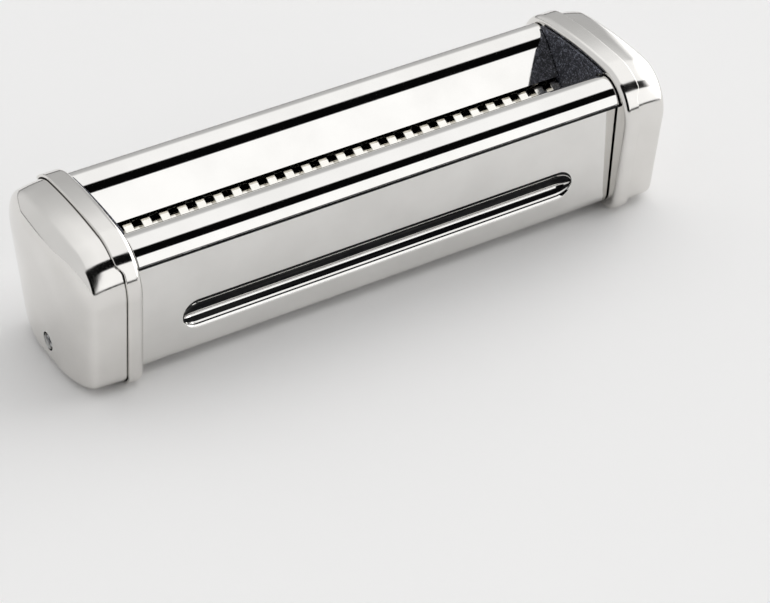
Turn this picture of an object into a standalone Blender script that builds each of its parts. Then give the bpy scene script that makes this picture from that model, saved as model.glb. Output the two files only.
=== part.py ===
"""Cutter attachment for a hand-cranked pasta machine, modelled as separate pieces.

Two grooved rollers with interlocking discs turn between two flanged side plates. Folded
chrome covers form the feed hopper over them, and domed caps close the ends. Metres, +Z up,
X along the rollers, -Y the front; the origin is under the middle, where the end flanges stand.
Outlines are written in millimetres and scaled by MM when a mesh is made.
"""

import math

import bmesh
import bpy
from mathutils import Vector

MM = 0.001

# --- driving dimensions, millimetres ---------------------------------------------------
PITCH = 5.6                 # one disc and one groove: it cuts 2.8 mm noodles
DISC_COUNT = 27             # on each roller
INNER_HALF = 77.0           # middle to the inner face of a side plate
GAP = 0.3                   # between pieces that would touch

ROLLER_AXIS_Y = 8.5
ROLLER_AXIS_Z = 23.8
DISC_RADIUS = 9.1
DISC_WIDTH = 2.5
CORE_RADIUS = 7.3
JOURNAL_RADIUS = 4.0
ROLLER_SEGMENTS = 14

FLANGE_WIDTH = 4.7          # down the front and the rear
FLANGE_TOP_WIDTH = 6.3      # over the top
FLANGE_STEP = (40.5, 43.5)  # heights between which one width turns into the other
FLANGE_THICKNESS = 0.8
WEB_THICKNESS = 1.5
FOLD_RADIUS = 1.7

PROFILE_HALF_DEPTH = 28.2   # widest half depth of a side plate
PROFILE_HEIGHT = 48.8
CROWN_RADIUS = 160.0
SHOULDER_RADIUS = 14.3
FOOT_RADIUS = 6.3
SIDE_TAPER = math.radians(8.6)

CAP_START = 82.5            # middle to where the cap's draft begins
CAP_INSET = 1.15            # cap inside the flange outline
CAP_DEPTH = 12.3            # beyond CAP_START, at CAP_MIDDLE_Z
CAP_LEAN = 0.03             # the end face leans out by this share towards the top
CAP_WALL = 0.9
CAP_SIDE_SWEEP = 18.5       # how far the side rounding reaches across the end face
CAP_SIDE_ROUND = 4.8        # how much of the depth that rounding takes
CAP_TOP_DROP = 2.5          # fall of the top towards the end face
CAP_TOP_ROUND = 4.0         # how far down the end face the rounding of its top edge reaches
CAP_FOOT_RISE = 0.4
CAP_DRAFT = 0.04
CAP_MIDDLE_Z = 25.0

SHEET = 0.8
COVER_HALF = 76.6
HOPPER_SLOPE = math.radians(52.5)
SLOT_HALF = 5.5
BEAD_Y = 17.4               # centre of the round top of a cover
BEAD_Z = 39.1
BEAD_RADIUS = 6.0
FLANK_RADIUS = 9.0          # the bead's flatter outer side
FLANK_START = 52.0          # degrees above the horizontal where the bead turns into the flank
LIP_START = 18.0            # and where the flank rolls under
LIP_END = -75.0
LIP_RADIUS = 0.8
FACE_TOP_Y = 22.8
FACE_TOP_Z = 38.2
FACE_TAPER = math.radians(4.8)
BOTTOM_Z = 1.8
BOTTOM_BEND = 5.0
BOTTOM_LIP_Y = 9.0
RECESS_HALF_LENGTH = 63.3
RECESS_Z = 15.7
RECESS_RADIUS = 5.0
RECESS_DEPTH = 2.6

GEAR_TEETH = 17
GEAR_MODULE = 1.0
GEAR_START = 81.0
GEAR_WIDTH = 6.0

COMB_ANGLE = math.radians(30.0)     # rise of the fingers towards the slot
COMB_DISTANCE = 8.35        # middle of the fingers to the roller axis
COMB_THICKNESS = 1.1
COMB_FINGER = 9.0
COMB_BAR = 4.0
COMB_TENON = (-COMB_FINGER - COMB_BAR + 0.5, -COMB_FINGER - 0.5)
COMB_TIP = 0.6
FINGER_WIDTH = 1.9

TOP_ROD = (BEAD_Y, BEAD_Z)
FOOT_ROD = (15.0, 6.8)
TOP_ROD_RADIUS = 3.0
FOOT_ROD_RADIUS = 2.3
CAP_SCREW_Z = 7.2
CAP_SCREW_FLOOR = 92.4      # middle to the floor of the screw's pocket
CHEEK_FACE = 75.95          # middle to the hopper face of a cheek plate
LAND_WIDTH = 1.0            # thickness of the strip that a cover's end fits over
CRANK_WAY_RADIUS = 7.2
SCREW_HOLE_RADIUS = 2.1

WEB_OUTER = INNER_HALF + WEB_THICKNESS
WORKING_HALF = DISC_COUNT * PITCH / 2

SIDES = (("left", -1), ("right", 1))
FACES = (("front", -1), ("rear", 1))


# --- scene and materials ---------------------------------------------------------------
def clear_scene():
    for thing in list(bpy.data.objects):
        bpy.data.objects.remove(thing, do_unlink=True)


def make_material(name, colour, roughness, metallic):
    material = bpy.data.materials.new(name)
    material.use_nodes = True
    shader = material.node_tree.nodes["Principled BSDF"]
    shader.inputs["Base Color"].default_value = (*colour, 1.0)
    shader.inputs["Roughness"].default_value = roughness
    shader.inputs["Metallic"].default_value = metallic
    material.diffuse_color = (*colour, 1.0)
    return material


def make_materials():
    return {
        "chrome": make_material("chrome", (0.80, 0.79, 0.77), 0.10, 1.0),
        "satin_chrome": make_material("satin_chrome", (0.72, 0.70, 0.67), 0.22, 1.0),
        "cutter_steel": make_material("cutter_steel", (0.70, 0.70, 0.69), 0.20, 1.0),
        "zinc_steel": make_material("zinc_steel", (0.55, 0.56, 0.57), 0.35, 1.0),
        "gear_steel": make_material("gear_steel", (0.42, 0.42, 0.43), 0.38, 1.0),
        "bronze": make_material("bronze", (0.52, 0.34, 0.16), 0.40, 1.0),
        "graphite_plastic": make_material("graphite_plastic", (0.035, 0.036, 0.042), 0.45, 0.0),
    }


# --- mesh helpers ----------------------------------------------------------------------
def add_object(name, mesh_data, material, place=(0.0, 0.0, 0.0), parent=None):
    """An object at place, millimetres, from a bmesh whose points are in metres."""
    bmesh.ops.recalc_face_normals(mesh_data, faces=mesh_data.faces)
    mesh = bpy.data.meshes.new(name)
    mesh_data.to_mesh(mesh)
    mesh_data.free()
    mesh.materials.append(material)
    mesh.shade_smooth()
    mesh.set_sharp_from_angle(angle=math.radians(32))
    thing = bpy.data.objects.new(name, mesh)
    bpy.context.collection.objects.link(thing)
    thing.parent = parent
    thing.location = Vector(place) * MM
    return thing


def loft(rings, caps=True):
    """A bmesh skin over rings of equal length; each ring is a list of (x, y, z) in millimetres."""
    skin = bmesh.new()
    rows = [[skin.verts.new(Vector(point) * MM) for point in ring] for ring in rings]
    count = len(rows[0])
    pairs = list(zip(rows, rows[1:]))
    if not caps:
        pairs.append((rows[-1], rows[0]))
    for first, second in pairs:
        for i in range(count):
            j = (i + 1) % count
            skin.faces.new((first[i], first[j], second[j], second[i]))
    if caps:
        skin.faces.new(list(reversed(rows[0])))
        skin.faces.new(rows[-1])
    return skin


def ring_at(x, outline):
    return [(x, y, z) for y, z in outline]


def prism(outline, x_start, x_end):
    """A closed bar along X whose section is an outline of (y, z) points."""
    return loft([ring_at(x, outline) for x in (x_start, x_end)])


def circle(radius, segments, centre=(0.0, 0.0), phase=0.0):
    turn = 2 * math.pi / segments
    return [
        (
            centre[0] + radius * math.cos(phase + turn * i),
            centre[1] + radius * math.sin(phase + turn * i),
        )
        for i in range(segments)
    ]


def turned(section, segments):
    """A turned piece on the local X axis, from a section of (x, radius) points.

    A section that starts and ends on the axis makes a solid; any other closes on itself.
    """
    skin = bmesh.new()
    rows = []
    for x, radius in section:
        ring = [(0.0, 0.0)] if radius == 0 else circle(radius, segments)
        rows.append([skin.verts.new(Vector((x, y, z)) * MM) for y, z in ring])
    pairs = list(zip(rows, rows[1:]))
    if section[0][1] > 0:
        pairs.append((rows[-1], rows[0]))
    for first, second in pairs:
        for i in range(segments):
            j = (i + 1) % segments
            corners = []
            for row, index in ((first, i), (first, j), (second, j), (second, i)):
                corner = row[index % len(row)]
                if corner not in corners:
                    corners.append(corner)
            skin.faces.new(corners)
    return skin


def mirrored(section, side):
    """A turned section moved to the other end of the machine."""
    return [(side * x, radius) for x, radius in section]


def helper(name, mesh_data, place=(0.0, 0.0, 0.0)):
    """A shape that only cuts or joins another: drawn as wire and left out of renders."""
    thing = add_object(name, mesh_data, bpy.data.materials["zinc_steel"], place)
    thing.hide_render = True
    thing.display_type = "WIRE"
    return thing


def combine(target, other, operation):
    modifier = target.modifiers.new(other.name, "BOOLEAN")
    modifier.operation = operation
    modifier.solver = "EXACT"
    modifier.object = other


def merge_meshes(meshes):
    """Several separate closed skins in one bmesh."""
    whole = bmesh.new()
    for skin in meshes:
        part_mesh = bpy.data.meshes.new("part")
        skin.to_mesh(part_mesh)
        skin.free()
        whole.from_mesh(part_mesh)
        bpy.data.meshes.remove(part_mesh)
    return whole


def axis_empty(name, y, z):
    empty = bpy.data.objects.new(name, None)
    bpy.context.collection.objects.link(empty)
    empty.location = Vector((0.0, y, z)) * MM
    return empty


# --- outlines in (y, z) ----------------------------------------------------------------
def arc(centre, radius, start, end, steps):
    """Points on an arc, degrees, both ends included."""
    angles = [math.radians(start + (end - start) * i / steps) for i in range(steps + 1)]
    return [(centre[0] + radius * math.cos(a), centre[1] + radius * math.sin(a)) for a in angles]


def moved(point, distance, angle):
    """A point moved by a distance in a direction, degrees."""
    turn = math.radians(angle)
    return (point[0] + distance * math.cos(turn), point[1] + distance * math.sin(turn))


def end_profile(inset):
    """The side plates' arched outline, moved inwards by inset, from the bottom round by the rear."""
    taper = math.degrees(SIDE_TAPER)
    shoulder_y = PROFILE_HALF_DEPTH - SHOULDER_RADIUS
    crown_z = PROFILE_HEIGHT - CROWN_RADIUS
    reach = CROWN_RADIUS - SHOULDER_RADIUS
    shoulder_z = crown_z + math.sqrt(reach**2 - shoulder_y**2)
    lean = math.degrees(math.atan2(shoulder_z - crown_z, shoulder_y))
    drop = shoulder_z - FOOT_RADIUS + (FOOT_RADIUS - SHOULDER_RADIUS) * math.sin(SIDE_TAPER)
    foot_y = (
        shoulder_y
        + (SHOULDER_RADIUS - FOOT_RADIUS) * math.cos(SIDE_TAPER)
        - drop * math.tan(SIDE_TAPER)
    )
    foot = arc((foot_y, FOOT_RADIUS), FOOT_RADIUS - inset, -90, -taper, 3)
    shoulder = arc((shoulder_y, shoulder_z), SHOULDER_RADIUS - inset, -taper, lean, 6)
    crown = arc((0.0, crown_z), CROWN_RADIUS - inset, lean, 90, 3)[1:]
    half = foot + shoulder + crown
    return half + [(-y, z) for y, z in reversed(half[:-1])]


def face_y(z):
    """Outward distance of a cover's flat face at a height."""
    return FACE_TOP_Y - (FACE_TOP_Z - z) * math.tan(FACE_TAPER)


def bead_path(offset):
    """A bead's section from the hopper wall over the top and down the flank to the rolled lip."""
    flank = moved((BEAD_Y, BEAD_Z), BEAD_RADIUS - FLANK_RADIUS, FLANK_START)
    lip = moved(flank, FLANK_RADIUS - LIP_RADIUS, LIP_START)
    wall = 90 + math.degrees(HOPPER_SLOPE)
    path = arc((BEAD_Y, BEAD_Z), BEAD_RADIUS - offset, wall, FLANK_START, 7)
    path += arc(flank, FLANK_RADIUS - offset, FLANK_START, LIP_START, 3)[1:]
    if offset < LIP_RADIUS:
        path += arc(lip, LIP_RADIUS - offset, LIP_START, LIP_END, 2)[1:]
    return path


def cover_path(offset):
    """A cover's section from the slot edge to the bottom lip, as (outward, z) points.

    The path is the visible surface moved by offset into the sheet.
    """
    bead = bead_path(offset)
    along = (math.cos(HOPPER_SLOPE), math.sin(HOPPER_SLOPE))
    edge = moved((BEAD_Y, BEAD_Z), BEAD_RADIUS, 90 + math.degrees(HOPPER_SLOPE))
    reach = (edge[0] - SLOT_HALF) / along[0]
    path = [(bead[0][0] - reach * along[0], bead[0][1] - reach * along[1])] + bead
    path.append((face_y(FACE_TOP_Z) - offset, FACE_TOP_Z - 0.4 * offset))
    centre_z = BOTTOM_Z + BOTTOM_BEND
    centre_y = face_y(centre_z) - BOTTOM_BEND / math.cos(FACE_TAPER)
    path += arc((centre_y, centre_z), BOTTOM_BEND - offset, -math.degrees(FACE_TAPER), -90, 4)
    path.append((BOTTOM_LIP_Y, BOTTOM_Z + offset))
    return path


def stadium(half_length, radius, steps):
    """A long oblong in (x, height) about its middle."""
    right = arc((half_length - radius, 0.0), radius, -90, 90, steps)
    return right + [(-x, -z) for x, z in right]


def gear_outline():
    """Involute teeth, thinned for running clearance, with a tooth on the +Y side."""
    pitch_radius = GEAR_MODULE * GEAR_TEETH / 2
    base_radius = pitch_radius * math.cos(math.radians(20))
    tip_radius = pitch_radius + 0.9 * GEAR_MODULE
    root_radius = pitch_radius - 1.3 * GEAR_MODULE
    half_tooth = math.pi / (2 * GEAR_TEETH) - 0.15 / pitch_radius

    def involute(radius):
        roll = math.sqrt(max((radius / base_radius) ** 2 - 1, 0.0))
        return roll - math.atan(roll)

    flank = [(root_radius, half_tooth + involute(pitch_radius))]
    for radius in (base_radius + 0.05, pitch_radius, tip_radius):
        flank.append((radius, half_tooth + involute(pitch_radius) - involute(radius)))
    outline = []
    for tooth in range(GEAR_TEETH):
        middle = 2 * math.pi * tooth / GEAR_TEETH
        sides = [(r, middle - a) for r, a in flank] + [(r, middle + a) for r, a in reversed(flank)]
        outline += [(r * math.cos(a), r * math.sin(a)) for r, a in sides]
    return outline


# --- side plates, cheeks and caps ------------------------------------------------------
def plate_holes(side):
    """Everything that passes through a side plate, as one set of cutters."""
    inside, outside = side * (INNER_HALF - 6), side * (WEB_OUTER + 2)
    cutters = []
    for face in (-1, 1):
        shaft = (face * ROLLER_AXIS_Y, ROLLER_AXIS_Z)
        cutters.append(prism(circle(5.6 + GAP, 16, shaft), inside, outside))
        for y, z in (TOP_ROD, FOOT_ROD):
            cutters.append(prism(circle(SCREW_HOLE_RADIUS, 10, (face * y, z)), inside, outside))
        cutters.append(prism(comb_section(face, COMB_TENON, GAP), inside, outside))
    cutters.append(prism(circle(SCREW_HOLE_RADIUS, 10, (0.0, CAP_SCREW_Z)), inside, outside))
    return merge_meshes(cutters)


def below_bead(offset):
    """The part of a cover's section from the crease under its bead to the end of its bottom bend."""
    return [point for point in cover_path(offset) if point[1] < FACE_TOP_Z and point[0] > BOTTOM_LIP_Y]


def locating_land(side, face):
    """The raised strip of a side plate that a cover's end fits over."""
    outer = below_bead(SHEET + GAP)
    inner = below_bead(SHEET + GAP + LAND_WIDTH)
    outline = [(face * y, z) for y, z in outer + inner[::-1]]
    return prism(outline, side * (INNER_HALF - 4.0), side * (INNER_HALF + 0.6))


def flange_reach(z):
    """How far a side plate's flange stands out at a height."""
    share = (z - FLANGE_STEP[0]) / (FLANGE_STEP[1] - FLANGE_STEP[0])
    return FLANGE_WIDTH + (FLANGE_TOP_WIDTH - FLANGE_WIDTH) * min(max(share, 0.0), 1.0)


def plate_ring(side, reach, inset):
    """One ring of a side plate; a reach of None stands for the flange's edge."""
    outline = end_profile(inset)
    return [(side * (INNER_HALF + (flange_reach(z) if reach is None else reach)), y, z)
            for y, z in outline]


def make_side_plate(name, side, material):
    stations = (
        (0.0, FOLD_RADIUS),
        (0.5, 0.5),
        (FOLD_RADIUS, 0.0),
        (None, 0.0),
        (None, FLANGE_THICKNESS),
        (WEB_THICKNESS + 0.5, FLANGE_THICKNESS),
        (WEB_THICKNESS, FLANGE_THICKNESS + 0.5),
    )
    plate = add_object(name, loft([plate_ring(side, *station) for station in stations]), material)
    for face_name, face in FACES:
        land = helper(f"{name}_{face_name}_land", locating_land(side, face))
        combine(plate, land, "UNION")
    combine(plate, helper(f"{name}_holes", plate_holes(side)), "DIFFERENCE")
    return plate


def cheek_outline():
    """Half the section of a cheek plate: inside a cover, through the slot, then between the covers."""
    inside = SHEET + GAP + LAND_WIDTH + GAP
    above_comb, low = 18.0, 10.0
    slope = math.degrees(HOPPER_SLOPE)
    half = [(4.3, above_comb)]
    half += [(face_y(z) - inside, z) for z in (low, FACE_TOP_Z)]
    half += bead_path(SHEET + GAP)[::-1]
    over_bead = arc((BEAD_Y, BEAD_Z), BEAD_RADIUS + GAP, 90 + slope, 112, 2)
    for point in (half[-1], over_bead[0]):
        reach = (point[0] - SLOT_HALF + GAP) / math.cos(HOPPER_SLOPE)
        half.append(moved(point, -reach, slope))
    crown = [point for point in end_profile(FOLD_RADIUS + 2 * GAP)
             if 1.0 < point[0] < over_bead[-1][0] + 0.1 and point[1] > BEAD_Z]
    return half + over_bead + crown


def make_cheek_plate(name, side, material):
    """The dark plate that closes a hopper end and keeps the rollers off the side plate."""
    half = cheek_outline()
    outline = half + [(-y, z) for y, z in reversed(half)]
    plate = add_object(name, prism(outline, side * CHEEK_FACE, side * (INNER_HALF - GAP)), material)
    near, far = side * (CHEEK_FACE - 1), side * (INNER_HALF + 1)
    bores = []
    for face in (-1, 1):
        bores.append(prism(circle(4.5, 14, (face * ROLLER_AXIS_Y, ROLLER_AXIS_Z)), near, far))
        bores.append(prism(circle(TOP_ROD_RADIUS + GAP, 14, (face * BEAD_Y, BEAD_Z)), near, far))
    combine(plate, helper(f"{name}_bores", merge_meshes(bores)), "DIFFERENCE")
    return plate


def cap_ring(depth, wall):
    """A section of the domed cap at a depth beyond CAP_START, wall inside its outer skin."""
    share = min(max(depth / CAP_DEPTH, 0.0), 1.0)
    rounding = max((depth - CAP_DEPTH + CAP_SIDE_ROUND) / CAP_SIDE_ROUND, 0.0)
    rounded = 1 - math.sqrt(max(1 - rounding**2, 0.0))
    draft = CAP_DRAFT * max(depth, 0.0)
    outline = end_profile(CAP_INSET + wall)
    half_depth = max(y for y, _ in outline)
    height = max(z for _, z in outline) - CAP_MIDDLE_Z
    foot = CAP_MIDDLE_Z - min(z for _, z in outline)
    across = 1 - (draft + CAP_SIDE_SWEEP * rounded) / half_depth
    up = 1 - (draft + CAP_TOP_DROP * share**2.2 + CAP_TOP_ROUND * rounded) / height
    down = 1 - (draft + CAP_FOOT_RISE * rounded) / foot
    ring = []
    for y, z in outline:
        lift = z - CAP_MIDDLE_Z
        ring.append((y * across, CAP_MIDDLE_Z + lift * (up if lift > 0 else down)))
    return ring


def cap_skin(side):
    """The cap's closed shell: its outer rings from end to rim, then its inner rings back."""
    rim = WEB_OUTER + 0.5 - CAP_START
    outer = [CAP_DEPTH - CAP_SIDE_ROUND * (1 - turn) for turn in (1.0, 0.96, 0.86, 0.7, 0.45, 0.0)]
    outer += [CAP_DEPTH * 0.3, 0.0, rim]
    stations = [(depth, 0.0, depth) for depth in outer]
    stations.append((rim, CAP_WALL, rim))
    for share in (0.0, 0.61, 0.78, 0.9, 0.97, 1.0):
        stations.append(((CAP_DEPTH - CAP_WALL) * share, CAP_WALL, CAP_DEPTH * share))
    rings = []
    for x, wall, depth in stations:
        ring = []
        for y, z in cap_ring(depth, wall):
            lean = 1 + CAP_LEAN * (z - CAP_MIDDLE_Z) / CAP_MIDDLE_Z if x > 0 else 1
            ring.append((side * (CAP_START + x * lean), y, z))
        rings.append(ring)
    return loft(rings)


def make_end_cap(name, side, material):
    cap = add_object(name, cap_skin(side), material)
    middle = (0.0, CAP_SCREW_Z)
    beyond = CAP_START + CAP_DEPTH + 2.0
    boss = prism(circle(3.9, 14, middle), side * (CAP_SCREW_FLOOR - 1.5), side * (CAP_SCREW_FLOOR + 1.6))
    pocket = prism(circle(2.8, 14, middle), side * CAP_SCREW_FLOOR, side * beyond)
    hole = prism(circle(1.8, 10, middle), side * (CAP_SCREW_FLOOR - 4), side * beyond)
    combine(cap, helper(f"{name}_boss", boss), "UNION")
    combine(cap, helper(f"{name}_pocket", pocket), "DIFFERENCE")
    combine(cap, helper(f"{name}_hole", hole), "DIFFERENCE")
    if side > 0:
        way = prism(circle(CRANK_WAY_RADIUS, 20, (-ROLLER_AXIS_Y, ROLLER_AXIS_Z)), beyond - 8, beyond)
        combine(cap, helper(f"{name}_crank_way", way), "DIFFERENCE")
    return cap


# --- covers ----------------------------------------------------------------------------
def recess_shape(face, grow, near, far, shrink):
    """A tapered oblong plug into a cover's face, from near to far millimetres inside it."""
    rings = []
    for depth, inset in ((near, 0.0), (far, shrink)):
        half = RECESS_HALF_LENGTH + grow - inset
        radius = RECESS_RADIUS + grow - inset
        ring = []
        for x, height in stadium(half, radius, 6):
            z = RECESS_Z + height * math.cos(FACE_TAPER)
            ring.append((x, face * (face_y(z) - depth), z))
        rings.append(ring)
    return loft(rings)


def make_cover(name, face, material):
    outline = cover_path(0.0) + cover_path(SHEET)[::-1]
    section = [(face * y, z) for y, z in outline]
    cover = add_object(name, prism(section, -COVER_HALF, COVER_HALF), material)
    pan = recess_shape(face, SHEET * 0.9, 0.3, RECESS_DEPTH + SHEET, 1.6)
    combine(cover, helper(f"{name}_pan", pan), "UNION")
    hollow = recess_shape(face, 0.0, -1.0, RECESS_DEPTH, 1.6)
    combine(cover, helper(f"{name}_hollow", hollow), "DIFFERENCE")
    return cover


# --- rollers and gears -----------------------------------------------------------------
def roller_section(first_disc, left_end, right_end):
    """Journal, core with discs, journal, from left to right."""
    end = WORKING_HALF - (PITCH / 2 - DISC_WIDTH) / 2
    core = [(-end, CORE_RADIUS)]
    for i in range(DISC_COUNT):
        middle = first_disc + i * PITCH
        start, stop = middle - DISC_WIDTH / 2, middle + DISC_WIDTH / 2
        core += [(start, CORE_RADIUS), (start, DISC_RADIUS), (stop, DISC_RADIUS), (stop, CORE_RADIUS)]
    core.append((end, CORE_RADIUS))
    # At one end the last disc is flush with the core, whose two points there fall together.
    if core[1][0] < -end + 0.01:
        core = core[2:]
    if core[-2][0] > end - 0.01:
        core = core[:-2]
    left = [(left_end, 0.0), (left_end, JOURNAL_RADIUS), (-end, JOURNAL_RADIUS)]
    right = [(end, JOURNAL_RADIUS), (right_end, JOURNAL_RADIUS), (right_end, 0.0)]
    return left + core + right


def make_roller(name, axis, first_disc, right_end, material):
    section = roller_section(first_disc, -(GEAR_START + GEAR_WIDTH + 3.0), right_end)
    return add_object(name, turned(section, ROLLER_SEGMENTS), material, parent=axis)


def make_gear(name, axis, material):
    gear = add_object(
        name, prism(gear_outline(), -GEAR_START, -(GEAR_START + GEAR_WIDTH)), material, parent=axis
    )
    bore = prism(circle(JOURNAL_RADIUS + GAP, ROLLER_SEGMENTS), -(GEAR_START - 1), -(GEAR_START + 8))
    cutter = helper(f"{name}_bore", bore)
    cutter.parent = axis
    combine(gear, cutter, "DIFFERENCE")
    return gear


def make_retaining_ring(name, axis, material):
    start = GEAR_START + GEAR_WIDTH + GAP
    inner, outer = JOURNAL_RADIUS + GAP, JOURNAL_RADIUS + 2.2
    section = [(-start, inner), (-start, outer), (-start - 1.0, outer), (-start - 1.0, inner)]
    return add_object(name, turned(section, ROLLER_SEGMENTS), material, parent=axis)


def make_drive_socket(name, axis, shaft_end, material):
    """The hexagonal socket on the front roller's right journal that takes the crank."""
    start, stop = WEB_OUTER + 3.5, CAP_START + CAP_DEPTH - 1.6
    body = turned([(start, 0.0), (start, 6.3), (stop - 0.6, 6.3), (stop, 5.7), (stop, 0.0)], 16)
    socket = add_object(name, body, material, parent=axis)
    bore = prism(circle(JOURNAL_RADIUS + GAP, ROLLER_SEGMENTS), start - 1, shaft_end + GAP)
    hexagon = prism(circle(4.62, 6), shaft_end - 0.4, stop + 1)
    for label, skin in (("bore", bore), ("hexagon", hexagon)):
        cutter = helper(f"{name}_{label}", skin)
        cutter.parent = axis
        combine(socket, cutter, "DIFFERENCE")
    return socket


def make_bush(name, side, face, material):
    inner, outer = JOURNAL_RADIUS + GAP, 5.6
    start, shoulder, stop = INNER_HALF + 0.1, WEB_OUTER + GAP, WEB_OUTER + 1.9
    section = [(start, inner), (start, outer), (shoulder, outer), (shoulder, 7.2), (stop, 7.2), (stop, inner)]
    place = (0.0, face * ROLLER_AXIS_Y, ROLLER_AXIS_Z)
    return add_object(name, turned(mirrored(section, side), 14), material, place)


# --- combs -----------------------------------------------------------------------------
def comb_point(face, along, across):
    """A point of a comb's section, measured from where its fingers touch the roller's circle."""
    direction = (math.cos(COMB_ANGLE), math.sin(COMB_ANGLE))
    normal = (math.sin(COMB_ANGLE), -math.cos(COMB_ANGLE))
    outward = ROLLER_AXIS_Y - COMB_DISTANCE * normal[0] - along * direction[0] - across * normal[0]
    height = ROLLER_AXIS_Z + COMB_DISTANCE * normal[1] + along * direction[1] + across * normal[1]
    return (face * outward, height)


def comb_section(face, reach, grow):
    """The four-sided section of a comb between two places along its slope."""
    near, far = reach[0] - grow, reach[1] + grow
    half = COMB_THICKNESS / 2 + grow
    return [
        comb_point(face, near, -half),
        comb_point(face, far, -half),
        comb_point(face, far, half),
        comb_point(face, near, half),
    ]


def comb_outline(first_disc):
    """Half way round a comb in (x, along its slope): the fingers, then the bar with its tenons."""
    edge, tenon_end = CHEEK_FACE - GAP, WEB_OUTER - 0.2
    outline = [(-edge, -COMB_FINGER)]
    for i in range(DISC_COUNT + 1):
        middle = first_disc + (i - 0.5) * PITCH
        start, stop = middle - FINGER_WIDTH / 2, middle + FINGER_WIDTH / 2
        if -edge + GAP < start and stop < edge - GAP:
            outline += [(start, -COMB_FINGER), (start, COMB_TIP), (stop, COMB_TIP), (stop, -COMB_FINGER)]
    outline.append((edge, -COMB_FINGER))
    back = -COMB_FINGER - COMB_BAR
    tenon = [(edge, COMB_TENON[1]), (tenon_end, COMB_TENON[1]), (tenon_end, COMB_TENON[0]),
             (edge, COMB_TENON[0]), (edge, back)]
    return outline + tenon + [(-x, along) for x, along in reversed(tenon)]


def make_comb(name, face, first_disc, material):
    """A strip with a finger in each groove of its roller, and a tenon at each end."""
    outline = comb_outline(first_disc)
    half = COMB_THICKNESS / 2
    rings = [[(x, *comb_point(face, along, across)) for x, along in outline] for across in (-half, half)]
    return add_object(name, loft(rings), material)


# --- rods, posts and screws ------------------------------------------------------------
def make_tie_rod(name, place, radius, material):
    """A round spacer between the side plates, with a threaded hole in each end."""
    end, depth, bore = INNER_HALF - GAP, 7.5, 2.0
    if radius < 3:
        bore = 1.5
    right = [(end, radius), (end, bore), (end - depth, bore), (end - depth, 0.0)]
    section = [(-x, r) for x, r in reversed(right)] + right
    return add_object(name, turned(section, 12), material, (0.0, *place))


def make_rod_screw(name, side, place, shank, material):
    under, top = WEB_OUTER + GAP, WEB_OUTER + 2.6
    section = [
        (INNER_HALF - 6.5, 0.0),
        (INNER_HALF - 6.5, shank),
        (under, shank),
        (under, 3.5),
        (top - 0.7, 3.5),
        (top, 2.7),
        (top, 1.3),
        (top - 1.0, 1.3),
        (top - 1.0, 0.0),
    ]
    return add_object(name, turned(mirrored(section, side), 10), material, (0.0, *place))


def make_cap_post(name, side, material):
    """A riveted post on the side plate that the cap's screw goes into."""
    top = CAP_SCREW_FLOOR - 1.5 - GAP
    section = [
        (INNER_HALF - 1.0, 0.0),
        (INNER_HALF - 1.0, 2.2),
        (INNER_HALF - GAP, 2.9),
        (INNER_HALF - GAP, 1.8),
        (WEB_OUTER + GAP, 1.8),
        (WEB_OUTER + GAP, 3.2),
        (top, 3.2),
        (top, 1.5),
        (top - 6.0, 1.5),
        (top - 6.0, 0.0),
    ]
    return add_object(name, turned(mirrored(section, side), 10), material, (0.0, 0.0, CAP_SCREW_Z))


def make_cap_screw(name, side, material):
    floor = CAP_SCREW_FLOOR
    section = [
        (floor - 7.0, 0.0),
        (floor - 7.0, 1.2),
        (floor + GAP, 1.2),
        (floor + GAP, 2.4),
        (floor + 1.3, 2.4),
        (floor + 1.7, 1.8),
        (floor + 1.7, 1.0),
        (floor + 0.9, 1.0),
        (floor + 0.9, 0.0),
    ]
    return add_object(name, turned(mirrored(section, side), 10), material, (0.0, 0.0, CAP_SCREW_Z))


# --- assembly --------------------------------------------------------------------------
def build():
    clear_scene()
    look = make_materials()
    first_front = -WORKING_HALF + PITCH / 4
    first_rear = first_front + PITCH / 2
    shaft_end = WEB_OUTER + 8.0

    front_axis = axis_empty("front_roller_axis", -ROLLER_AXIS_Y, ROLLER_AXIS_Z)
    rear_axis = axis_empty("rear_roller_axis", ROLLER_AXIS_Y, ROLLER_AXIS_Z)
    make_roller("front_cutting_roller", front_axis, first_front, shaft_end, look["cutter_steel"])
    make_roller("rear_cutting_roller", rear_axis, first_rear, WEB_OUTER + 3.0, look["cutter_steel"])
    make_drive_socket("drive_socket", front_axis, shaft_end, look["zinc_steel"])
    for label, axis in (("front", front_axis), ("rear", rear_axis)):
        make_gear(f"{label}_gear", axis, look["gear_steel"])
        make_retaining_ring(f"{label}_gear_clip", axis, look["zinc_steel"])

    for label, face in FACES:
        make_cover(f"{label}_cover", face, look["chrome"])
        first = first_front if face < 0 else first_rear
        make_comb(f"{label}_comb", face, first, look["graphite_plastic"])
        top, foot = (face * TOP_ROD[0], TOP_ROD[1]), (face * FOOT_ROD[0], FOOT_ROD[1])
        make_tie_rod(f"{label}_top_rod", top, TOP_ROD_RADIUS, look["zinc_steel"])
        make_tie_rod(f"{label}_foot_rod", foot, FOOT_ROD_RADIUS, look["zinc_steel"])

    for end, side in SIDES:
        make_side_plate(f"{end}_side_plate", side, look["satin_chrome"])
        make_cheek_plate(f"{end}_cheek_plate", side, look["graphite_plastic"])
        make_end_cap(f"{end}_end_cap", side, look["satin_chrome"])
        make_cap_post(f"{end}_cap_post", side, look["zinc_steel"])
        make_cap_screw(f"{end}_cap_screw", side, look["zinc_steel"])
        for label, face in FACES:
            make_bush(f"{end}_{label}_bush", side, face, look["bronze"])
            top, foot = (face * TOP_ROD[0], TOP_ROD[1]), (face * FOOT_ROD[0], FOOT_ROD[1])
            make_rod_screw(f"{end}_{label}_top_screw", side, top, 1.7, look["zinc_steel"])
            make_rod_screw(f"{end}_{label}_foot_screw", side, foot, 1.2, look["zinc_steel"])


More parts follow.
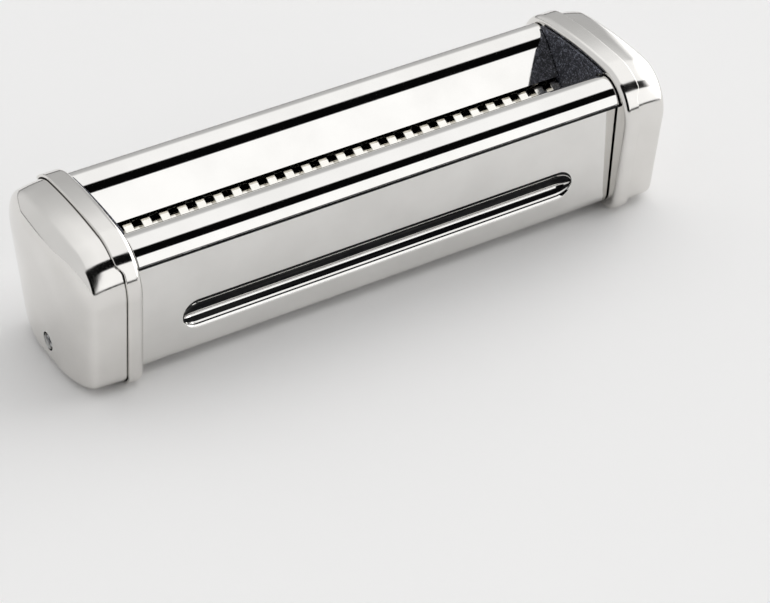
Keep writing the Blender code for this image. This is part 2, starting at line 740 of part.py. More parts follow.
build()
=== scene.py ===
"""The looks of a pasta machine's noodle cutter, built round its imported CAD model.

Finer pieces stand for the CAD nodes that show, and the rest keep their CAD shape under new
materials. Lengths are in millimetres, scaled by MM when a mesh is made; +Z is up, X runs along
the rollers and -Y is the front, as in the CAD.
"""

import math

import bmesh
import bpy
from mathutils import Matrix, Vector


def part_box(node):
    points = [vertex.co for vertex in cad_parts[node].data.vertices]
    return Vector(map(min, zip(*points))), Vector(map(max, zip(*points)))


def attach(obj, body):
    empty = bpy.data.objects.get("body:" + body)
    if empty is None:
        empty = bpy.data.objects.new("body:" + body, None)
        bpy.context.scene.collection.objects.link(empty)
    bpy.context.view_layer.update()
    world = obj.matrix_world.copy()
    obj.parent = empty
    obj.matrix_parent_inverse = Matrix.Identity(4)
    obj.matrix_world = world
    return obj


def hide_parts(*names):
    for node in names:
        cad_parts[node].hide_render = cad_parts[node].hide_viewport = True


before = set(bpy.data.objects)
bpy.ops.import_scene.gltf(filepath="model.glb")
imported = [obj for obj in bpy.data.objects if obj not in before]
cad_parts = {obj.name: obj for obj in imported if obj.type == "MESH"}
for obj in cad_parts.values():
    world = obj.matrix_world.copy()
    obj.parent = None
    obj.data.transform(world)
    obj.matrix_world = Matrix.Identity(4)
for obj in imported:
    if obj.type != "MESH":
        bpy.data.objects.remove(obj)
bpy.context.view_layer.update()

MM = 0.001
BODY = "housing"


def box_mm(node):
    """The lowest and highest corner of a CAD node, in millimetres."""
    return [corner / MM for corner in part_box(node)]


# --- driving dimensions: the CAD's unless noted, and those of the finer detail ---------
PITCH = 5.6
DISC_COUNT = 27
INNER_HALF = 77.0
GAP = 0.3

ROLLER_AXIS_Y = 8.5
ROLLER_AXIS_Z = 23.8
DISC_RADIUS = 8.8           # 0.3 smaller than in the CAD
DISC_WIDTH = 2.74           # 0.24 wider than in the CAD, which leaves the discs just clear of each other
CORE_RADIUS = 7.0           # 0.3 smaller than in the CAD
DISC_CHAMFER = 0.06
JOURNAL_RADIUS = 4.0
JOURNAL_CHAMFER = 0.4
BUSH_RADIUS = 5.6
SHAFT_END_BEYOND_WEB = 8.0
HEXAGON_RADIUS = 4.62       # to the corners of the crank's socket

FLANGE_WIDTH = 4.7          # down the front and the rear
FLANGE_TOP_WIDTH = 6.3      # over the top
FLANGE_STEP = (40.5, 43.5)  # heights between which one width turns into the other
FLANGE_THICKNESS = 0.8
WEB_THICKNESS = 1.5
FOLD_RADIUS = 1.7
FLANGE_RIM = 0.3            # rounding of the flange's free edge
SCREW_HOLE_RADIUS = 2.1

PROFILE_HALF_DEPTH = box_mm("left_side_plate")[1].y
PROFILE_HEIGHT = box_mm("left_side_plate")[1].z
CROWN_RADIUS = 160.0
SHOULDER_RADIUS = 14.3
FOOT_RADIUS = 6.3
SIDE_TAPER = math.radians(8.6)

CAP_START = 82.5            # middle to where the cap's draft begins
CAP_INSET = 1.15            # cap inside the flange outline
CAP_DEPTH = 12.3            # beyond CAP_START, at CAP_MIDDLE_Z
CAP_LEAN = 0.03             # the end face leans out by this share towards the top
CAP_WALL = 0.9
CAP_SIDE_SWEEP = 18.5       # how far the side rounding reaches across the end face
CAP_SIDE_ROUND = 4.8        # how much of the depth that rounding takes
CAP_TOP_DROP = 2.5          # fall of the top towards the end face
CAP_TOP_ROUND = 4.0         # how far down the end face the rounding of its top edge reaches
CAP_FOOT_RISE = 0.4
CAP_DRAFT = 0.04
CAP_MIDDLE_Z = 25.0
CAP_SCREW_Z = 7.2
CAP_SCREW_FLOOR = 92.4      # middle to the floor of the screw's pocket
CAP_SCREW_HEAD = 2.4
CAP_POCKET_RADIUS = 2.8
CAP_BOSS_RADIUS = 3.9
CAP_SCREW_HOLE = 1.8
CRANK_WAY_RADIUS = 7.2

SHEET = 0.8
COVER_HALF = box_mm("front_cover")[1].x
HOPPER_SLOPE = math.radians(52.5)
SLOT_HALF = 5.5
BEAD_Y = 17.4               # centre of the round top of a cover
BEAD_Z = 39.1
BEAD_RADIUS = 6.0
BEAD_FOOT = 129.0           # degrees where the bead turns into the gentler curve of the wall
BEAD_FOOT_RADIUS = 14.0
BEAD_STEPS = 16             # along each curve of a bead
# From there down the outer side, the angle in degrees that each curve reaches and its radius.
# The CAD draws the middle two as one.
BEAD_CURVES = ((52.0, BEAD_RADIUS), (40.5, 12.0), (18.0, 7.9), (-75.0, 0.8))
FACE_TOP_Y = 22.8
FACE_TOP_Z = 38.2
FACE_TAPER = math.radians(4.8)
SEAM_HEIGHT = 0.85          # of the seam under the lip that is painted dark as shade, down the face
TOP_BEND = 0.5              # radius at the top of the face
TOP_BEND_STEPS = 5
BOTTOM_Z = 1.8
BOTTOM_BEND = 5.0
BOTTOM_LIP_Y = 9.0

RECESS_HALF_LENGTH = 63.3
RECESS_Z = 15.7
RECESS_RADIUS = 5.1         # 0.1 larger than in the CAD
RECESS_RIM = 0.35           # rounding along the top of the recess
RECESS_SLOPE = -23.2        # of its upper wall, degrees
# From its deepest line down to the face, the slope in degrees that each bend reaches and its radius.
RECESS_BENDS = (
    (24.8, 0.6), (46.8, 2.8), (56.8, 8.0), (61.8, 1.0), (45.8, 1.2), (24.8, 2.8), (0.0, 1.0),
)
FACE_ROWS = (FACE_TOP_Z - SEAM_HEIGHT, 30.0, RECESS_Z + RECESS_RADIUS + 1.5)    # heights above the recess
# The recess's bands of painted reflection, painted near black where the chrome would mirror something
# dark, as shares of its height as seen from the front and above.
PAINTED_REFLECTION_BANDS = ((0.02, 0.12), (0.16, 0.42), (0.57, 0.76), (0.82, 0.86))

CHEEK_FACE = 75.95          # middle to the hopper face of a cheek plate
CHEEK_BORE = 4.5            # round each roller's journal
CHEEK_ARCH = (4.3, 18.0)    # corner of the raised middle of a cheek plate's foot
CHEEK_FOOT_Z = 10.0         # height of the foot's outer corners
LAND_WIDTH = 1.0            # thickness of the strip that a cover's end fits over
LAND_REACH = 4.0            # how far that strip goes in under the cover
TOP_ROD_RADIUS = 3.0
FOOT_ROD = (15.0, 6.8)
WEB_OUTER = INNER_HALF + WEB_THICKNESS
SHAFT_END = WEB_OUTER + SHAFT_END_BEYOND_WEB
WORKING_HALF = DISC_COUNT * PITCH / 2
WALL_NORMAL = 90 + math.degrees(HOPPER_SLOPE)
FIRST_DISC = {-1: -WORKING_HALF + PITCH / 4, 1: -WORKING_HALF + PITCH * 3 / 4}

SIDES = (("left", -1), ("right", 1))
FACES = (("front", -1), ("rear", 1))

# --- the view and the room -------------------------------------------------------------
VIEW_ELEVATION = math.radians(36.21)
VIEW_AZIMUTH = math.radians(-30.14)
VIEW_ROLL = math.radians(-1.0)
VIEW_DISTANCE = 0.763
VIEW_AIM = Vector((-0.0002, -0.0214, -0.0025))
LENS = 125.47               # on a 36 mm wide sensor
FLOOR_RADIUS = 1.4          # metres, as are the two above the lens

DARKNESS = 0.002
# Brightness of the room by height in degrees, from the front horizon over the top to the rear:
# a white strip, a black one, the white ceiling, and a rear wall that darkens downwards.
ROOM = (
    (0.0, 0.02), (2.0, 0.02), (3.5, 1.22), (41.2, 1.22), (42.6, DARKNESS), (62.0, DARKNESS),
    (64.0, 1.13), (128.0, 1.13), (136.0, 0.98), (140.0, 0.76), (145.0, 0.64), (152.0, 0.56),
    (176.0, 0.5), (178.0, 0.1),
)
CEILING_START = 63.0        # degrees, in the black strip's upper edge
PANEL_END = 0.10            # the front strips stop where a direction's X falls to this
SCREEN_END = -0.66          # and from here a plain screen stands at the left
SCREEN_FADE = -0.1          # overhead the strips fade into it about here
SCREEN = 0.75
SIDE_LIGHT_END = 0.70       # a stronger light stands at the right from here
SIDE_LIGHT = 2.4


# --- outlines in (y, z) ----------------------------------------------------------------
def moved(point, distance, angle):
    """A point moved by a distance in a direction, degrees."""
    turn = math.radians(angle)
    return (point[0] + distance * math.cos(turn), point[1] + distance * math.sin(turn))


def arc(centre, radius, start, end, steps):
    """Points on an arc, degrees, both ends included."""
    return [moved(centre, radius, start + (end - start) * i / steps) for i in range(steps + 1)]


def circle(radius, segments, centre=(0.0, 0.0)):
    return arc(centre, radius, 0.0, 360.0, segments)[:-1]


def line(start, end, steps):
    """Evenly spaced points from start towards end, without the last one."""
    shares = [i / steps for i in range(steps)]
    return [tuple(a + (b - a) * share for a, b in zip(start, end)) for share in shares]


def end_profile(inset):
    """The side plates' arched outline, moved inwards by inset, from the bottom round by the rear."""
    taper = math.degrees(SIDE_TAPER)
    shoulder_y = PROFILE_HALF_DEPTH - SHOULDER_RADIUS
    crown_z = PROFILE_HEIGHT - CROWN_RADIUS
    reach = CROWN_RADIUS - SHOULDER_RADIUS
    shoulder_z = crown_z + math.sqrt(reach**2 - shoulder_y**2)
    lean = math.degrees(math.atan2(shoulder_z - crown_z, shoulder_y))
    drop = shoulder_z - FOOT_RADIUS + (FOOT_RADIUS - SHOULDER_RADIUS) * math.sin(SIDE_TAPER)
    foot_y = (
        shoulder_y
        + (SHOULDER_RADIUS - FOOT_RADIUS) * math.cos(SIDE_TAPER)
        - drop * math.tan(SIDE_TAPER)
    )
    foot = arc((foot_y, FOOT_RADIUS), FOOT_RADIUS - inset, -90, -taper, 10)
    shoulder = arc((shoulder_y, shoulder_z), SHOULDER_RADIUS - inset, -taper, lean, 28)
    crown = arc((0.0, crown_z), CROWN_RADIUS - inset, lean, 90, 12)[1:]
    half = foot + line(foot[-1], shoulder[0], 5)[1:] + shoulder + crown
    return half + [(-y, z) for y, z in reversed(half[:-1])]


def face_y(z):
    """Outward distance of a cover's flat face at a height."""
    return FACE_TOP_Y - (FACE_TOP_Z - z) * math.tan(FACE_TAPER)


def bead_path(offset):
    """A bead's section from the hopper wall over the top and down the flank to the rolled lip."""
    centre, radius, angle = (BEAD_Y, BEAD_Z), BEAD_RADIUS, BEAD_FOOT
    foot = moved(centre, radius - BEAD_FOOT_RADIUS, angle)
    path = arc(foot, BEAD_FOOT_RADIUS - offset, WALL_NORMAL, angle, 16)
    for reached, curve in BEAD_CURVES:
        centre = moved(centre, radius - curve, angle)
        if curve > SHEET or offset < SHEET / 2:
            path += arc(centre, curve - offset, angle, reached, BEAD_STEPS)[1:]
        radius, angle = curve, reached
    return path


def top_path(offset):
    """A cover's section from the slot edge over the bead to the end of the rolled lip."""
    bead = bead_path(offset)
    reach = (bead_path(0.0)[0][0] - SLOT_HALF) / math.cos(HOPPER_SLOPE)
    return line(moved(bead[0], -reach, math.degrees(HOPPER_SLOPE)), bead[0], 8) + bead


def bottom_bend(offset):
    centre_z = BOTTOM_Z + BOTTOM_BEND
    centre_y = face_y(centre_z) - BOTTOM_BEND / math.cos(FACE_TAPER)
    return arc((centre_y, centre_z), BOTTOM_BEND - offset, -math.degrees(FACE_TAPER), -90, 16)


def below_bead(offset):
    """The face and the bottom bend without the recess, as the lands and cheeks follow them."""
    return [(face_y(FACE_TOP_Z) - offset, FACE_TOP_Z - 0.4 * offset)] + bottom_bend(offset)


# --- the pressed recess of a cover -----------------------------------------------------
def bend(start, turn_from, turn_to, radius):
    """Points that leave start and turn from one slope to another, as (height, depth)."""
    points = []
    sign = 1 if turn_to > turn_from else -1
    steps = max(4, round(abs(turn_to - turn_from) * radius / 8))
    for i in range(1, steps + 1):
        turn = turn_from + (turn_to - turn_from) * i / steps
        along = math.sin(math.radians(turn)) - math.sin(math.radians(turn_from))
        rise = math.cos(math.radians(turn_from)) - math.cos(math.radians(turn))
        points.append((start[0] - sign * radius * along, start[1] - sign * radius * rise))
    return points


def recess_profile():
    """The recess's (height, depth) points from its lower edge's height up to its top rim."""
    low = [(0.0, 0.0)]
    slope = RECESS_SLOPE
    for reached, radius in RECESS_BENDS:
        low += bend(low[-1], slope, reached, radius)
        slope = reached
    shift = -RECESS_RADIUS - low[-1][0]
    deepest = -low[-1][1]
    low = [(height + shift, depth + deepest) for height, depth in low]
    steep = math.tan(math.radians(-RECESS_SLOPE))
    top = deepest / steep + shift
    wall = line((top - RECESS_RIM, RECESS_RIM * steep), low[0], 12)
    return [(top + RECESS_RIM, 0.0), (top, RECESS_RIM * steep / 4)] + wall, low


RECESS_WALL, RECESS_FLOOR = recess_profile()


def in_painted_reflection_band(place):
    """Whether a point of the recess, (height, depth), lies in one of its bands of painted reflection."""
    seen = [height * math.cos(VIEW_ELEVATION) + depth * math.sin(VIEW_ELEVATION)
            for height, depth in (RECESS_WALL[0], place, RECESS_FLOOR[-1])]
    share = (seen[0] - seen[1]) / (seen[0] - seen[2])
    return any(low < share < high for low, high in PAINTED_REFLECTION_BANDS)


def recess_scale(x):
    """How far the recess has closed towards its round ends: 1 in the middle, 0 beyond an end."""
    beyond = (abs(x) - RECESS_HALF_LENGTH + RECESS_RADIUS) / RECESS_RADIUS
    return math.sqrt(max(1 - max(beyond, 0.0) ** 2, 0.0))


def face_path(x, offset):
    """The flat face with the recess, at a place along the cover."""
    scale = recess_scale(x)
    spread = max(scale, 0.02)
    rows = [(z, 0.0) for z in FACE_ROWS]
    rows += [(RECESS_Z + height * spread, depth * scale) for height, depth in RECESS_WALL + RECESS_FLOOR]
    rows.append((RECESS_Z - RECESS_RADIUS - 1.5, 0.0))
    return [(face_y(z) - offset - sink, z) for z, sink in rows]


def cover_path(x, offset):
    """A cover's whole section from slot edge to bottom lip, as (outward, z) points."""
    centre = (face_y(FACE_TOP_Z) - offset - TOP_BEND, FACE_TOP_Z - TOP_BEND)
    path = top_path(offset) + arc(centre, TOP_BEND, 60, 0, TOP_BEND_STEPS) + face_path(x, offset)
    return path + bottom_bend(offset) + [(BOTTOM_LIP_Y, BOTTOM_Z + offset)]


def cover_section(x, face, inset):
    """A closed section: the visible skin and then the inner skin, both inset into the sheet."""
    outline = cover_path(x, inset) + cover_path(x, SHEET - inset)[::-1]
    return [(x, face * y, z) for y, z in outline]


def cover_stations():
    """(x, inset) of a cover's sections: close together at the recess's ends, rounded at its own."""
    straight = RECESS_HALF_LENGTH - RECESS_RADIUS
    half = [(straight * share, 0.0) for share in (0.25, 0.5, 0.75)]
    turns = [math.radians(90 * i / 28) for i in range(29)]
    half += [(straight + RECESS_RADIUS * math.sin(turn), 0.0) for turn in turns]
    rim = ((1.5, 0.0), (0.35, 0.0), (0.1, 0.03), (0.0, 0.12))
    half += [(COVER_HALF - back, inset) for back, inset in rim]
    return [(-x, inset) for x, inset in reversed(half)] + [(0.0, 0.0)] + half


# --- meshes ----------------------------------------------------------------------------
def ring_at(x, outline):
    return [(x, y, z) for y, z in outline]


def loft(rings):
    """A closed bmesh skin over rings of equal length."""
    skin = bmesh.new()
    rows = [[skin.verts.new(Vector(point) * MM) for point in ring] for ring in rings]
    count = len(rows[0])
    for first, second in zip(rows, rows[1:]):
        for i in range(count):
            j = (i + 1) % count
            skin.faces.new((first[i], first[j], second[j], second[i]))
    skin.faces.new(list(reversed(rows[0])))
    skin.faces.new(rows[-1])
    return skin


def prism(outline, x_start, x_end):
    return loft([ring_at(x, outline) for x in (x_start, x_end)])


def turned(section, segments, side=1):
    """A turned solid on the local X axis, from a section of (x, radius) points."""
    return loft([ring_at(side * x, circle(radius, segments)) for x, radius in section])


def make_object(name, skin, place=(0.0, 0.0, 0.0)):
    bmesh.ops.recalc_face_normals(skin, faces=skin.faces)
    mesh = bpy.data.meshes.new(name)
    skin.to_mesh(mesh)
    skin.free()
    thing = bpy.data.objects.new(name, mesh)
    bpy.context.scene.collection.objects.link(thing)
    thing.location = Vector(place) * MM
    return thing


def carve(thing, skins, operation="DIFFERENCE"):
    """Cuts closed skins out of an object, or joins them to it, and keeps the result as its mesh."""
    helpers = [make_object(f"{thing.name}_helper", skin, thing.location / MM) for skin in skins]
    for other in helpers:
        modifier = thing.modifiers.new("carve", "BOOLEAN")
        modifier.operation = operation
        modifier.solver = "EXACT"
        modifier.object = other
    graph = bpy.context.evaluated_depsgraph_get()
    thing.data = bpy.data.meshes.new_from_object(thing.evaluated_get(graph))
    thing.data.materials.clear()
    thing.modifiers.clear()
    for other in helpers:
        bpy.data.objects.remove(other, do_unlink=True)


def finish_piece(thing, look, slot, *nodes, body=BODY, edges=0.0, sharp=40):
    """Shades a piece, rounds its edges by so many millimetres, and puts it in its CAD nodes' place."""
    thing.data.materials.append(look[slot])
    thing.data.shade_smooth()
    thing.data.set_sharp_from_angle(angle=math.radians(sharp))
    if edges:
        bevel = thing.modifiers.new("round_edges", "BEVEL")
        bevel.width = edges * MM
        bevel.segments = 3
        bevel.limit_method = "ANGLE"
        bevel.angle_limit = math.radians(sharp)
    flats = thing.modifiers.new("keep_flats_flat", "WEIGHTED_NORMAL")
    flats.keep_sharp = True
    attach(thing, body)
    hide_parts(*nodes)


# --- materials -------------------------------------------------------------------------
class Paint:
    """A node material under construction: each method adds nodes and returns their output."""

    def __init__(self, name, metallic, roughness, colour):
        self.material = bpy.data.materials.new(name)
        self.material.use_nodes = True
        self.tree = self.material.node_tree
        self.shader = self.tree.nodes["Principled BSDF"]
        self.shader.inputs["Metallic"].default_value = metallic
        self.shader.inputs["Roughness"].default_value = roughness
        self.shader.inputs["Base Color"].default_value = (*colour, 1.0)
        self.place = self.tree.nodes.new("ShaderNodeTexCoord").outputs["Object"]

    def noise(self, scale, detail=3.0, stretch=(1.0, 1.0, 1.0)):
        """Noise with about scale features per metre, fewer along an axis with a small stretch."""
        mapping = self.tree.nodes.new("ShaderNodeMapping")
        mapping.inputs["Scale"].default_value = stretch
        self.tree.links.new(self.place, mapping.inputs["Vector"])
        node = self.tree.nodes.new("ShaderNodeTexNoise")
        node.inputs["Scale"].default_value = scale
        node.inputs["Detail"].default_value = detail
        self.tree.links.new(mapping.outputs["Vector"], node.inputs["Vector"])
        return node.outputs["Fac"]

    def spread(self, source, low, high, start=0.35, end=0.65):
        """A value that runs from low to high as source runs from start to end."""
        node = self.tree.nodes.new("ShaderNodeMapRange")
        for index, value in enumerate((start, end, low, high), 1):
            node.inputs[index].default_value = value
        self.tree.links.new(source, node.inputs["Value"])
        return node.outputs["Result"]

    def blend(self, factor, first, second):
        node = self.tree.nodes.new("ShaderNodeMix")
        node.data_type = "RGBA"
        self.tree.links.new(factor, node.inputs["Factor"])
        for name, colour in (("A", first), ("B", second)):
            socket = next(s for s in node.inputs if s.name == name and s.type == "RGBA")
            socket.default_value = (*colour, 1.0)
        return next(s for s in node.outputs if s.type == "RGBA")

    def set(self, socket, output):
        self.tree.links.new(output, self.shader.inputs[socket])

    def relief(self, *heights):
        """Bumps one over another, each a (source, height in millimetres) pair."""
        normal = None
        for source, height in heights:
            node = self.tree.nodes.new("ShaderNodeBump")
            node.inputs["Distance"].default_value = height * MM
            self.tree.links.new(source, node.inputs["Height"])
            if normal:
                self.tree.links.new(normal, node.inputs["Normal"])
            normal = node.outputs["Normal"]
        self.set("Normal", normal)


def make_chrome(name, colour, shade, roughness, waviness):
    """Plated sheet: a cloudy polish, fine hairlines along X, and a slight waviness."""
    paint = Paint(name, 1.0, roughness, colour)
    hairlines = paint.noise(900, 2.0, (0.05, 1.0, 1.0))
    paint.set("Base Color", paint.blend(paint.spread(paint.noise(55, 4.0), 0.0, 1.0), colour, shade))
    paint.set("Roughness", paint.spread(paint.noise(140, 5.0), roughness * 0.8, roughness * 1.35))
    paint.relief((paint.noise(28, 1.0), waviness), (hairlines, 0.0004))
    return paint.material


def make_painted_shade_and_reflection():
    """Painted shade and painted reflections: a nearly black colour for the seam under a lip, where it
    stands for shade in the crease, and for the bands in a recess, where it stands for reflections of
    something dark.
    """
    paint = Paint("painted_reflection_and_shade", 0.0, 0.4, (0.005, 0.005, 0.006))
    paint.shader.inputs["Specular IOR Level"].default_value = 0.03
    streaks = paint.noise(1200, 3.0, (0.02, 1.0, 1.0))
    paint.set("Base Color", paint.blend(paint.spread(streaks, 0.0, 1.0, 0.45, 0.7),
                                        (0.003, 0.003, 0.004), (0.03, 0.03, 0.03)))
    paint.set("Roughness", paint.spread(paint.noise(140, 5.0), 0.3, 0.5))
    paint.relief((streaks, 0.004))
    return paint.material


def make_turned_steel(name, colour, shade, roughness):
    """Turned steel, with the fine lines that the tool leaves round the axis."""
    paint = Paint(name, 1.0, roughness, colour)
    lines = paint.noise(3500, 2.0, (1.0, 0.02, 0.02))
    paint.set("Base Color", paint.blend(paint.spread(paint.noise(300), 0.0, 1.0), colour, shade))
    paint.set("Roughness", paint.spread(lines, roughness * 0.8, roughness * 1.3))
    paint.relief((lines, 0.001))
    return paint.material


def make_graphite():
    """Dark sintered plate with a fine light speckle."""
    paint = Paint("graphite_plastic", 0.15, 0.5, (0.03, 0.03, 0.035))
    grain = paint.noise(2600, 2.0)
    speckle = paint.spread(grain, 0.0, 1.0, 0.52, 0.68)
    paint.set("Base Color", paint.blend(speckle, (0.010, 0.011, 0.018), (0.34, 0.36, 0.44)))
    paint.set("Roughness", paint.spread(grain, 0.4, 0.65))
    paint.relief((grain, 0.04))
    return paint.material


def make_materials():
    chrome, shade = (0.82, 0.81, 0.79), (0.77, 0.76, 0.74)
    return {
        "chrome": make_chrome("chrome", chrome, shade, 0.045, 0.004),
        "satin_chrome": make_chrome("satin_chrome", (0.80, 0.785, 0.76), (0.75, 0.735, 0.71), 0.10, 0.01),
        # painted shade and painted reflection, in one near-black material
        "painted_reflection_and_shade": make_painted_shade_and_reflection(),
        "cutter_steel": make_turned_steel("cutter_steel", (0.90, 0.88, 0.83), (0.84, 0.82, 0.77), 0.1),
        "zinc_steel": make_turned_steel("zinc_steel", (0.55, 0.56, 0.57), (0.45, 0.46, 0.48), 0.32),
        "gear_steel": make_turned_steel("gear_steel", (0.42, 0.42, 0.43), (0.32, 0.31, 0.30), 0.36),
        "bronze": make_turned_steel("bronze", (0.52, 0.34, 0.16), (0.40, 0.26, 0.13), 0.38),
        "graphite_plastic": make_graphite(),
    }


# --- covers, side plates and cheeks ----------------------------------------------------
def make_cover(label, face, look):
    """A cover of bright plate, whose seam under the lip takes near-black painted shade and whose recess
    bands take near-black painted reflections.
    """
    stations = cover_stations()
    skin = loft([cover_section(x, face, inset) for x, inset in stations])
    count = len(cover_section(0.0, face, 0.0))
    lip_end = len(top_path(0.0))
    face_start = lip_end + TOP_BEND_STEPS + 1
    # The seam under the lip gets painted shade and the recess bands get painted reflections.
    seam = range(lip_end - BEAD_STEPS - 1, face_start)
    rows = RECESS_WALL + RECESS_FLOOR
    wall_start = face_start + len(FACE_ROWS)
    bands = [wall_start + i for i, (upper, lower) in enumerate(zip(rows, rows[1:]))
             if in_painted_reflection_band(((upper[0] + lower[0]) / 2, (upper[1] + lower[1]) / 2))]
    skin.faces.ensure_lookup_table()
    for pair, ((x, _), (next_x, _)) in enumerate(zip(stations, stations[1:])):
        in_recess = abs(x + next_x) / 2 < RECESS_HALF_LENGTH
        for edge in list(seam) + (bands if in_recess else []):
            skin.faces[pair * count + edge].material_index = 1
    cover = make_object(f"{label}_cover_sheet", skin)
    finish_piece(cover, look, "chrome", f"{label}_cover", sharp=50)
    # Second slot: the near-black painted shade and painted reflections.
    cover.data.materials.append(look["painted_reflection_and_shade"])


def land(side, face):
    """The raised strip of a side plate that a cover's end fits over."""
    outline = below_bead(SHEET + GAP) + below_bead(SHEET + GAP + LAND_WIDTH)[::-1]
    section = [(face * y, z) for y, z in outline]
    return prism(section, side * (INNER_HALF - LAND_REACH), side * (INNER_HALF + 0.6))


def plate_holes(side):
    inside, outside = side * (INNER_HALF - 6), side * (WEB_OUTER + 2)
    holes = [(SCREW_HOLE_RADIUS, (0.0, CAP_SCREW_Z))]
    for face in (-1, 1):
        holes.append((BUSH_RADIUS + GAP, (face * ROLLER_AXIS_Y, ROLLER_AXIS_Z)))
        holes.append((SCREW_HOLE_RADIUS, (face * BEAD_Y, BEAD_Z)))
        holes.append((SCREW_HOLE_RADIUS, (face * FOOT_ROD[0], FOOT_ROD[1])))
    return [prism(circle(radius, 32, centre), inside, outside) for radius, centre in holes]


def flange_reach(z):
    """How far a side plate's flange stands out at a height."""
    share = (z - FLANGE_STEP[0]) / (FLANGE_STEP[1] - FLANGE_STEP[0])
    share = min(max(share, 0.0), 1.0)
    return FLANGE_WIDTH + (FLANGE_TOP_WIDTH - FLANGE_WIDTH) * share**2 * (3 - 2 * share)


def plate_ring(side, out, back, inset):
    """One ring of a side plate: out from its inner face, or back from the flange's edge if out is None."""
    outline = end_profile(inset)
    return [(side * (INNER_HALF + (flange_reach(z) - back if out is None else out)), y, z)
            for y, z in outline]


def make_side_plate(label, side, look):
    fold = [math.radians(90 * i / 10) for i in range(11)]
    stations = [(FOLD_RADIUS * (1 - math.cos(turn)), 0.0, FOLD_RADIUS * (1 - math.sin(turn)))
                for turn in fold]
    stations += [(None, FLANGE_RIM * (1 - math.sin(turn)), FLANGE_RIM * (1 - math.cos(turn)))
                 for turn in fold[::2]]
    stations += [
        (None, 0.0, FLANGE_THICKNESS),
        (WEB_THICKNESS + 0.5, 0.0, FLANGE_THICKNESS),
        (WEB_THICKNESS, 0.0, FLANGE_THICKNESS + 0.5),
    ]
    plate = make_object(f"{label}_end_band", loft([plate_ring(side, *station) for station in stations]))
    carve(plate, [land(side, face) for face in (-1, 1)], "UNION")
    carve(plate, plate_holes(side))
    finish_piece(plate, look, "satin_chrome", f"{label}_side_plate")


def cheek_outline():
    """Half the section of a cheek plate: inside a cover, through the slot, then between the covers."""
    inside = SHEET + GAP + LAND_WIDTH + GAP
    half = [CHEEK_ARCH] + [(face_y(z) - inside, z) for z in (CHEEK_FOOT_Z, FACE_TOP_Z)]
    half += bead_path(SHEET + GAP)[::-1]
    over_bead = [point for point in bead_path(-GAP) if point[0] < BEAD_Y - 1.6]
    for point in (half[-1], over_bead[0]):
        reach = (point[0] - SLOT_HALF + GAP) / math.cos(HOPPER_SLOPE)
        half.append(moved(point, -reach, math.degrees(HOPPER_SLOPE)))
    crown = [point for point in end_profile(FOLD_RADIUS + 2 * GAP)
             if 1.0 < point[0] < over_bead[-1][0] and point[1] > BEAD_Z]
    return half + over_bead + crown


def make_cheek(label, side, look):
    half = cheek_outline()
    outline = half + [(-y, z) for y, z in reversed(half)]
    cheek = make_object(f"{label}_cheek", prism(outline, side * CHEEK_FACE, side * (INNER_HALF - GAP)))
    near, far = side * (CHEEK_FACE - 1), side * (INNER_HALF + 1)
    bores = []
    for face in (-1, 1):
        bores.append(prism(circle(CHEEK_BORE, 48, (face * ROLLER_AXIS_Y, ROLLER_AXIS_Z)), near, far))
        bores.append(prism(circle(TOP_ROD_RADIUS + GAP, 48, (face * BEAD_Y, BEAD_Z)), near, far))
    carve(cheek, bores)
    finish_piece(cheek, look, "graphite_plastic", f"{label}_cheek_plate", edges=0.1)


# --- end caps --------------------------------------------------------------------------
def cap_ring(depth, wall):
    """A section of the domed cap at a depth beyond CAP_START, wall inside its outer skin."""
    share = min(max(depth / CAP_DEPTH, 0.0), 1.0)
    rounding = max((depth - CAP_DEPTH + CAP_SIDE_ROUND) / CAP_SIDE_ROUND, 0.0)
    rounded = 1 - math.sqrt(max(1 - rounding**2, 0.0))
    draft = CAP_DRAFT * max(depth, 0.0)
    outline = end_profile(CAP_INSET + wall)
    half_depth = max(y for y, _ in outline)
    height = max(z for _, z in outline) - CAP_MIDDLE_Z
    foot = CAP_MIDDLE_Z - min(z for _, z in outline)
    across = 1 - (draft + CAP_SIDE_SWEEP * rounded) / half_depth
    up = 1 - (draft + CAP_TOP_DROP * share**2.2 + CAP_TOP_ROUND * rounded) / height
    down = 1 - (draft + CAP_FOOT_RISE * rounded) / foot
    ring = []
    for y, z in outline:
        lift = z - CAP_MIDDLE_Z
        ring.append((y * across, CAP_MIDDLE_Z + lift * (up if lift > 0 else down)))
    return ring


def cap_skin(side):
    """The cap's closed shell: its outer rings from end to rim, then its inner rings back."""
    rim = WEB_OUTER + 0.5 - CAP_START
    turns = [math.radians(90 - 90 * i / 18) for i in range(19)]
    outer = [CAP_DEPTH - CAP_SIDE_ROUND * (1 - math.sin(turn)) for turn in turns]
    outer += [outer[-1] * share for share in (0.75, 0.5, 0.25, 0.0)] + [rim]
    # How far out a ring lies, the wall outside it, and the depth whose outline it takes.
    stations = [(depth, 0.0, depth) for depth in outer] + [(rim, CAP_WALL, rim)]
    for share in (0.0, 0.61, 0.78, 0.9, 0.97, 1.0):
        stations.append(((CAP_DEPTH - CAP_WALL) * share, CAP_WALL, CAP_DEPTH * share))
    rings = []
    for x, wall, depth in stations:
        ring = []
        for y, z in cap_ring(depth, wall):
            lean = 1 + CAP_LEAN * (z - CAP_MIDDLE_Z) / CAP_MIDDLE_Z if x > 0 else 1
            ring.append((side * (CAP_START + x * lean), y, z))
        rings.append(ring)
    return loft(rings)


